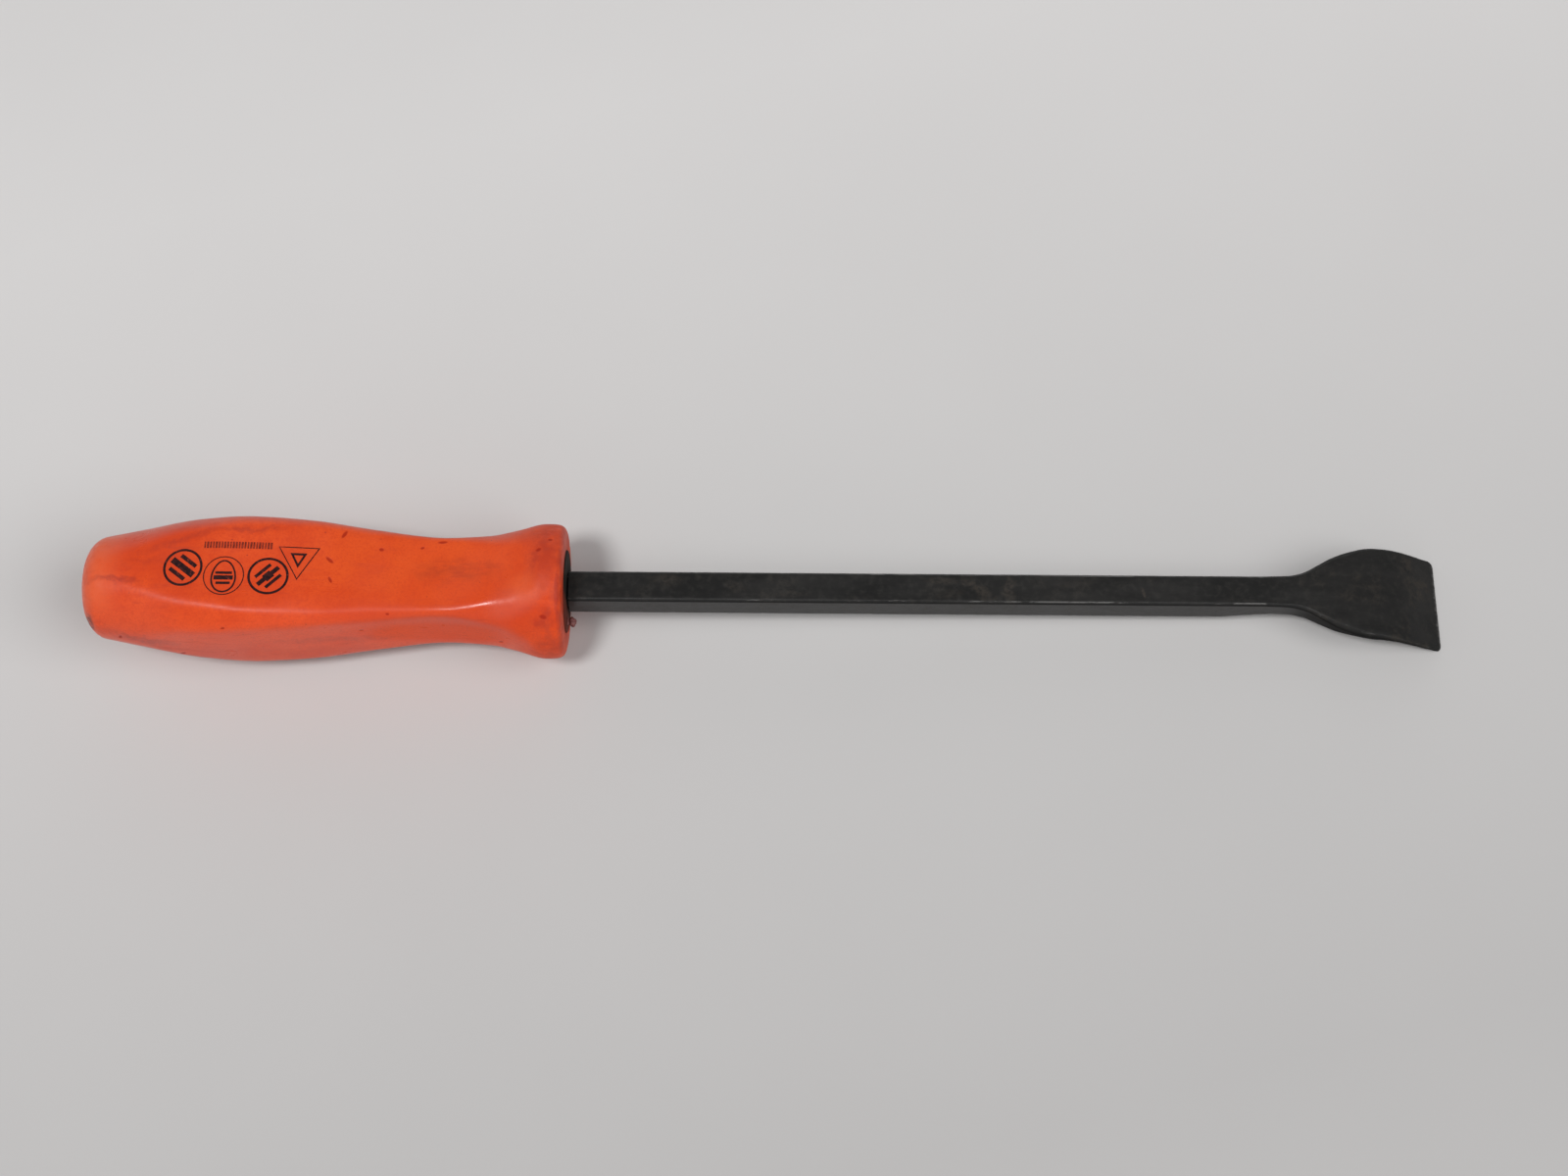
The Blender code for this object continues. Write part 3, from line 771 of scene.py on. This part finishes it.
def wear_blade(points, middle, edge):
    """Forged and used surface. Every move is inwards, so that the size holds."""
    away = points - middle
    away[:, 0] = 0
    away /= np.maximum(np.linalg.norm(away, axis=1, keepdims=True), 1e-6)
    seen = points[:, 0] > SHANK_X + 0.2
    fan = np.clip((points[:, 0] - 280.0) / 20.0, 0, 1)
    depth = np.zeros(len(points))
    depth[seen] = 0.018 * positive_field(points[seen], 0.12, 3)
    depth[seen] += ((0.05 + 0.05 * fan[seen]) * edge[seen]
                    * bumps_field(points[seen], 0.45, 3, (9, 1, 3), above=0.1))
    points = points - away * depth[:, None]
    # faint hammer flats on the fan, moved along its thickness
    inwards = np.where(points[:, 2] > middle[:, 2], -1, 1)
    flat = fan * (edge < 0.5)
    wave = 0.05 * positive_field(points * (1, 1, 0), 0.13, 2, (2, 7, 1))
    points[:, 2] += inwards * wave * flat * np.clip((TIP_X - points[:, 0]) / 6.0, 0, 1)
    # the working edge: slightly uneven with small chips
    near = np.clip((points[:, 0] - (TIP_X - 2.5)) / 2.5, 0, 1)
    ragged = 0.16 * positive_field(points * (0, 1, 0), 0.22, 2, (1, 4, 6))
    ragged += 0.28 * bumps_field(points * (0, 1, 0), 0.8, 2, (6, 3, 2), above=0.28)
    points[:, 0] -= near * ragged
    return points


def build_blade():
    sections = [rounded_section(*row) for row in tang_sections() + shank_sections()]
    rings, edges, shade_bands = zip(*sections)
    size = len(rings[0])
    edge = np.array(edges).ravel()
    middle = np.concatenate([np.repeat(ring.mean(0)[None], size, 0) for ring in rings])
    points = wear_blade(np.concatenate(rings), middle, edge)
    obj = skin("blade_forging", split_rings(points, size), cap_start="flat", cap_end="flat")
    point_attribute(obj, "edge_wear", edge)
    point_attribute(obj, "painted_shade_band", np.array(shade_bands).ravel())
    return obj


# ---- washer -------------------------------------------------------------------------
def build_washer():
    angles = circle_angles(192)
    square = tang_hole(angles)
    front, back, rim = WASHER_FRONT, WASHER_BACK, WASHER_R
    bevel, hole_bevel = 0.25, 0.12
    # x, radius: over the front face, round the rim and back to the hole
    profile = [(front - hole_bevel, square), (front, square + hole_bevel), (front, 7.0),
               (front, 9.3), (front, rim - 0.28)]
    profile += [(front - bevel + bevel * math.cos(turn), rim - bevel + bevel * math.sin(turn))
                for turn in (0.35, 0.7, 1.05, 1.4)]
    profile += [(front - 0.5, rim), (back + bevel, rim), (back + 0.07, rim - 0.07),
                (back, rim - bevel), (back, 7.0), (back, square + hole_bevel),
                (back + hole_bevel, square)]
    points = np.concatenate([polar_ring(x, radius, angles) for x, radius in profile])
    radial = np.hypot(points[:, 1], points[:, 2])
    worn = 0.03 * positive_field(points, 0.5, 2) * (radial > 9.0)
    points[:, 1:] *= (1 - worn / radial)[:, None]
    return skin("washer_disc", split_rings(points, len(angles)), closed=True)


# ---- printed marks --------------------------------------------------------------------
INK_LIFT, INK_SINK = 0.022, -0.03  # the film's two faces from the grip's skin
# centre, rings (y shift, half x, half y, line width, squeeze), bar angle,
# bars (shift across, length, width)
BADGES = [
    ((25.9, -0.6), [(0.0, 4.47, 4.53, 0.60, 0.0)],
     -38, [(-2.1, 4.8, 1.0), (0.0, 6.8, 1.6), (2.1, 4.8, 1.0)]),
    ((35.9, -2.8), [(0.0, 4.76, 4.90, 0.24, 0.0), (-0.15, 2.83, 4.02, 0.42, -0.12)],
     0, [(0.75, 4.0, 0.65), (-0.5, 4.6, 1.1), (-1.9, 3.4, 0.65)]),
    ((46.46, -2.62), [(0.0, 4.59, 4.48, 0.60, 0.0)],
     45, [(0.0, 6.6, 1.1), (1.85, 4.8, 0.8), (-1.85, 4.8, 0.8), (0.0, 2.2, 1.9)])]
TRIANGLE_X = 53.25
HATCH_X, HATCH_PITCH, HATCH_COUNT, HATCH_Y = 30.75, 0.69, 24, (4.4, 6.1)
HATCH_WIDTHS = (0.34, 0.50, 0.42)


def surface_z(x, y):
    """Height of the grip's top skin over (x, y), by a few steps of fixed-point search."""
    z = curve(FLAT, x)
    for _ in range(12):
        radius = grip_polar(x, np.arctan2(y, z))
        z = np.sqrt(np.maximum(radius * radius - y * y, 1e-6))
    return z


def film(name, strips):
    """Thin closed ink films over the grip. A strip is (one side, other side, closed) in XY."""
    verts, faces = [], []
    for one_side, other_side, closed in strips:
        size, base = len(one_side), len(verts)
        for side in (one_side, other_side):
            height = surface_z(side[:, 0], side[:, 1])
            for offset in (INK_LIFT, INK_SINK):
                verts += [(x, y, z + offset) for (x, y), z in zip(side, height)]
        top, low, other_top, other_low = (base + k * size for k in range(4))
        for i in range(size if closed else size - 1):
            j = (i + 1) % size
            faces += [(top + i, other_top + i, other_top + j, top + j),
                      (low + j, other_low + j, other_low + i, low + i),
                      (top + j, low + j, low + i, top + i),
                      (other_top + i, other_low + i, other_low + j, other_top + j)]
        if not closed:
            end = size - 1
            faces += [(top, low, other_low, other_top),
                      (top + end, other_top + end, other_low + end, low + end)]
    return solid(name, verts, faces, smooth=False)


def oval(x, y, half_x, half_y, width, squeeze):
    """Oval line; `squeeze` makes its +Y end wider and its -Y end narrower, or the reverse."""
    turn = np.linspace(0, 2 * np.pi, 96, endpoint=False)
    taper = 1 + squeeze * np.sin(turn)
    sides = [np.stack([x + (half_x + offset) * taper * np.cos(turn),
                       y + (half_y + offset) * np.sin(turn)], 1)
             for offset in (-width / 2, width / 2)]
    return *sides, True


def stroke(start_x, start_y, end_x, end_y, width):
    run = np.array([end_x - start_x, end_y - start_y])
    length = math.hypot(end_x - start_x, end_y - start_y)
    part = np.linspace(0, 1, max(3, int(length / 0.4)))[:, None]
    line = np.array([[start_x, start_y]]) + part * run
    offset = np.array([-run[1], run[0]]) / length * width / 2
    return line + offset, line - offset, False


def bar(x, y, across, length, width, angle):
    """Stroke at an angle, its middle moved sideways from (x, y)."""
    cos, sin = math.cos(math.radians(angle)), math.sin(math.radians(angle))
    x, y = x - across * sin, y + across * cos
    return stroke(x - cos * length / 2, y - sin * length / 2,
                  x + cos * length / 2, y + sin * length / 2, width)


def triangle(x, base_y, half, height, width):
    """Outline of a triangle with its base at base_y and its point towards -Y."""
    outer = np.array([(x - half, base_y), (x + half, base_y), (x, base_y - height)])
    inner = outer.mean(0) + (outer - outer.mean(0)) * (1 - 3.0 * width / height)
    part = np.linspace(0, 1, 16, endpoint=False)[:, None]
    sides = [np.concatenate([corners[i] + (corners[(i + 1) % 3] - corners[i]) * part
                             for i in range(3)]) for corners in (outer, inner)]
    return *sides, True


def build_print():
    """Three ring badges, nested triangles and a row of hatching."""
    strips = []
    for (x, y), rings, angle, bars in BADGES:
        strips += [oval(x, y + ring[0], *ring[1:]) for ring in rings]
        strips += [bar(x, y, *row, angle) for row in bars]
    strips.append(triangle(TRIANGLE_X, base_y=5.2, half=4.95, height=8.6, width=0.24))
    strips.append(triangle(TRIANGLE_X, base_y=3.6, half=2.0, height=3.9, width=0.56))
    for k in range(HATCH_COUNT):
        x = HATCH_X + HATCH_PITCH * k
        strips.append(stroke(x, HATCH_Y[0], x, HATCH_Y[1], HATCH_WIDTHS[k % 3]))
    return film("grip_print", strips)


# ---- dried adhesive ---------------------------------------------------------------------
def build_fleck():
    """A small waisted crumb in front of the washer, beside the shank."""
    bm = bmesh.new()
    bmesh.ops.create_icosphere(bm, subdivisions=5, radius=1.0)
    for vertex in bm.verts:
        point = vertex.co.copy()
        lump = 1 + 0.22 * noise.fractal(point * 1.6 + Vector((4, 1, 7)), 1.0, 2.0, 3)
        point = Vector((point.x * 1.15 * lump, point.y * 1.35 * lump, point.z * 0.9 * lump))
        waist = 1 - 0.30 * math.exp(-((point.x + 0.55) / 0.35) ** 2)
        point.y *= waist
        point.z *= waist
        point.y -= 0.25 * max(0.0, point.x)
        vertex.co = point * MM
    mesh = bpy.data.meshes.new("adhesive_fleck")
    bm.to_mesh(mesh)
    bm.free()
    mesh.shade_smooth()
    mesh.transform(Matrix.Translation(Vector((WASHER_FRONT + 1.05, -7.2, -1.9)) * MM))
    return link_object("adhesive_fleck", mesh)


# ---- floor ------------------------------------------------------------------------------
FLOOR_HALF, FLOOR_GAP = 3.0, 0.00006  # metres


def lowest(obj, x_from, x_to):
    points = np.array([vertex.co for vertex in obj.data.vertices]) / MM
    points = points[(points[:, 0] >= x_from) & (points[:, 0] <= x_to)]
    return points[points[:, 2].argmin()]


def build_floor(grip, blade):
    """The tool rests on the lip's underside and on the tip's edge."""
    heel, toe = lowest(grip, 108, 117), lowest(blade, TIP_X - 3, TIP_X + 1)
    slope = (toe[2] - heel[2]) / (toe[0] - heel[0])
    bm = bmesh.new()
    bmesh.ops.create_grid(bm, x_segments=8, y_segments=8, size=FLOOR_HALF)
    mesh = bpy.data.meshes.new("floor")
    bm.to_mesh(mesh)
    bm.free()
    floor = link_object("floor", mesh)
    floor.location = (heel[0] * MM, 0, heel[2] * MM - FLOOR_GAP)
    floor.rotation_euler = (0, -math.atan(slope), 0)
    floor.data.materials.append(floor_material())


# ---- camera -----------------------------------------------------------------------------
CAM_TILT, CAM_ROLL = math.radians(23.4), 0.0077  # radians
CAM_TARGET_X, CAM_RISE, CAM_DISTANCE = 169.9, 1.272, 600.0


def build_camera():
    """View from above, tilted towards -Y."""
    right = Vector((1, 0, 0))
    up = Vector((0, math.cos(CAM_TILT), math.sin(CAM_TILT)))
    back = Vector((0, -math.sin(CAM_TILT), math.cos(CAM_TILT)))
    rolled_right = right * math.cos(CAM_ROLL) + up * math.sin(CAM_ROLL)
    rolled_up = up * math.cos(CAM_ROLL) - right * math.sin(CAM_ROLL)
    eye = (Vector((CAM_TARGET_X, 0, 0)) + up * CAM_RISE + back * CAM_DISTANCE) * MM
    data = bpy.data.cameras.new("camera")
    data.sensor_width = 36.0
    data.lens = 56.25
    data.clip_start = 0.01
    camera = link_object("camera", data)
    axes = Matrix((rolled_right, rolled_up, back)).transposed()
    camera.matrix_world = Matrix.Translation(eye) @ axes.to_4x4()
    bpy.context.scene.camera = camera


# ---- light ------------------------------------------------------------------------------
LAMP_TARGET, LAMP_DISTANCE = Vector((0.19, 0, 0)), 2.7  # metres


def lamp(name, tilt_x, tilt_y, size, power):
    """Round lamp, tilted from straight above its target by degrees towards +X and +Y."""
    data = bpy.data.lights.new(name, "AREA")
    data.shape = "DISK"
    data.size = size
    data.energy = power
    obj = link_object(name, data)
    away = Vector((math.tan(math.radians(tilt_x)), math.tan(math.radians(tilt_y)), 1.0))
    place = LAMP_TARGET + away.normalized() * LAMP_DISTANCE
    obj.location = place
    obj.rotation_euler = (LAMP_TARGET - place).to_track_quat("-Z", "Y").to_euler()


def build_world():
    """A plain room: dark ceiling, paler walls towards -X and +Y."""
    world = bpy.data.worlds.new("world")
    world.use_nodes = True
    tree = world.node_tree
    link = tree.links.new
    sky = tree.nodes["Background"]
    sky.inputs["Color"].default_value = (0.985, 0.99, 1.0, 1.0)
    coord = tree.nodes.new("ShaderNodeTexCoord")
    split = tree.nodes.new("ShaderNodeSeparateXYZ")
    link(coord.outputs["Generated"], split.inputs[0])

    def ramp(axis, over, to, kind="LINEAR"):
        node = tree.nodes.new("ShaderNodeMapRange")
        node.interpolation_type = kind
        for socket, value in zip(node.inputs, (0.0, *over, *to)):
            socket.default_value = value
        link(split.outputs[axis], node.inputs[0])
        return node.outputs[0]

    def math_node(operation, first, second):
        node = tree.nodes.new("ShaderNodeMath")
        node.operation = operation
        link(first, node.inputs[0])
        link(second, node.inputs[1])
        return node

    wall = ramp("Z", over=(0.85, 0.25), to=(0.0, 1.0), kind="SMOOTHSTEP")
    along_y = ramp("Y", over=(-1.0, 1.0), to=(0.40, 0.62))
    along_x = ramp("X", over=(0.1, 0.7), to=(1.0, 0.25))
    sides = math_node("MULTIPLY", along_y, along_x)
    strength = math_node("MULTIPLY_ADD", wall, sides.outputs[0])
    strength.inputs[2].default_value = 0.12  # the ceiling's strength
    link(strength.outputs[0], sky.inputs["Strength"])
    bpy.context.scene.world = world


# ---- assembly -----------------------------------------------------------------------------
grip = finish_piece(build_grip(), grip_material(), "handle", sharp=50)
blade = finish_piece(build_blade(), steel_material(), "blade", sharp=50)
finish_piece(build_washer(), washer_material(), "front_washer", sharp=50)
finish_piece(build_print(), ink_material(), sharp=40)
finish_piece(build_fleck(), fleck_material())
build_floor(grip, blade)
build_camera()
lamp("lamp_left", tilt_x=-20.5, tilt_y=-18, size=0.6, power=36.0)
lamp("lamp_right", tilt_x=38, tilt_y=-21, size=2.0, power=37.5)
build_world()
bpy.context.scene.view_settings.view_transform = "Standard"
